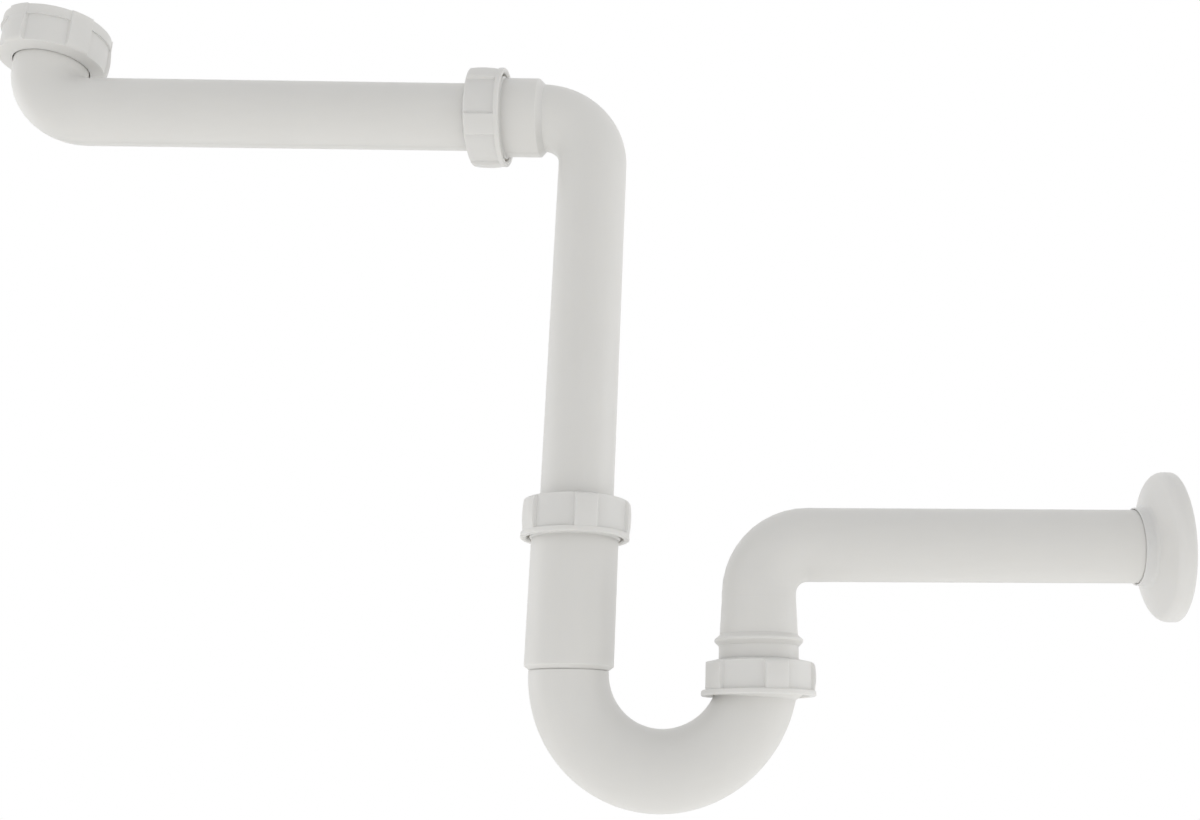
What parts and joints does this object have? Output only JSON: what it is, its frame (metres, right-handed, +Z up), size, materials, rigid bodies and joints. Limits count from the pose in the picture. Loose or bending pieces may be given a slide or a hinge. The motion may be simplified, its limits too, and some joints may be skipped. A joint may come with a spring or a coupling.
{
  "type": "space-saving trap",
  "caption": "White plastic space-saving basin trap: union nut inlet, level arm, downpipe, U-bend water seal, swivelling outlet pipe and sliding wall flange.",
  "frame": {"origin": "centre of the gasket face inside the inlet nut, where the basin waste seats", "axes": "+Z up along the inlet thread, +X along the level arm towards the wall, +Y away from the front"},
  "size_m": [0.5506, 0.0652, 0.3613],
  "materials": {
    "white_moulding": "satin moulded polypropylene, white",
    "slip_washer": "moulded polyethylene, natural white",
    "seal": "black sealing rubber"
  },
  "bodies": {
    "inlet_nut": {"inlet_nut": "white_moulding"},
    "inlet_bend": {"inlet_bend": "white_moulding", "inlet_gasket": "seal"},
    "arm_nut": {"arm_nut": "white_moulding"},
    "down_bend": {"down_bend": "white_moulding"},
    "drop_nut": {"drop_nut": "white_moulding"},
    "u_bend": {"u_bend": "white_moulding"},
    "outlet_nut": {"outlet_nut": "white_moulding"},
    "outlet_bend": {"outlet_bend": "white_moulding", "outlet_seal": "seal"},
    "wall_flange": {"wall_flange": "white_moulding"},
    "arm_slip_washer": {"arm_slip_washer": "slip_washer"},
    "drop_slip_washer": {"drop_slip_washer": "slip_washer"},
    "outlet_slip_washer": {"outlet_slip_washer": "slip_washer"},
    "arm_seal": {"arm_seal": "seal"},
    "drop_seal": {"drop_seal": "seal"}
  },
  "joints": [
    {"name": "inlet_nut_spin", "type": "hinge", "parent": "inlet_bend", "child": "inlet_nut", "pos_m": [0, 0, 0], "axis": [0, 0, 1], "continuous": true},
    {"name": "arm_slide", "type": "slide", "parent": "inlet_bend", "child": "arm_seal", "axis": [1, 0, 0], "range_m": [-0.009, 0.01]},
    {"name": "arm_swivel", "type": "hinge", "parent": "arm_seal", "child": "down_bend", "pos_m": [0.2626, 0, -0.0323], "axis": [1, 0, 0], "continuous": true},
    {"name": "arm_nut_travel", "type": "slide", "parent": "down_bend", "child": "arm_slip_washer", "axis": [-1, 0, 0], "range_m": [0, 0.00924]},
    {"name": "arm_nut_turn", "type": "hinge", "parent": "arm_slip_washer", "child": "arm_nut", "pos_m": [0.2204, 0, -0.0323], "axis": [-1, 0, 0], "range_deg": [0, 1440]},
    {"name": "drop_slide", "type": "slide", "parent": "down_bend", "child": "drop_seal", "axis": [0, 0, 1], "range_m": [-0.025, 0.025]},
    {"name": "drop_swivel", "type": "hinge", "parent": "drop_seal", "child": "u_bend", "pos_m": [0.2626, 0, -0.2368], "axis": [0, 0, 1], "continuous": true},
    {"name": "drop_nut_travel", "type": "slide", "parent": "u_bend", "child": "drop_slip_washer", "axis": [0, 0, 1], "range_m": [0, 0.00924]},
    {"name": "drop_nut_turn", "type": "hinge", "parent": "drop_slip_washer", "child": "drop_nut", "pos_m": [0.2626, 0, -0.2368], "axis": [0, 0, 1], "range_deg": [0, 1440]},
    {"name": "outlet_swivel", "type": "hinge", "parent": "u_bend", "child": "outlet_bend", "pos_m": [0.3426, 0, -0.2925], "axis": [0, 0, 1], "range_deg": [-120, 120]},
    {"name": "outlet_nut_travel", "type": "slide", "parent": "u_bend", "child": "outlet_slip_washer", "axis": [0, 0, 1], "range_m": [0, 0.00295]},
    {"name": "outlet_nut_turn", "type": "hinge", "parent": "outlet_slip_washer", "child": "outlet_nut", "pos_m": [0.3426, 0, -0.3025], "axis": [0, 0, 1], "range_deg": [0, 460]},
    {"name": "flange_slide", "type": "slide", "parent": "outlet_bend", "child": "wall_flange", "axis": [1, 0, 0], "range_m": [-0.12, 0.003]}
  ],
  "couplings": [
    {"joint": "arm_nut_travel", "follows": "arm_nut_turn", "m_per_rad": 0.00036749},
    {"joint": "drop_nut_travel", "follows": "drop_nut_turn", "m_per_rad": 0.00036749},
    {"joint": "outlet_nut_travel", "follows": "outlet_nut_turn", "m_per_rad": 0.00036749}
  ]
}
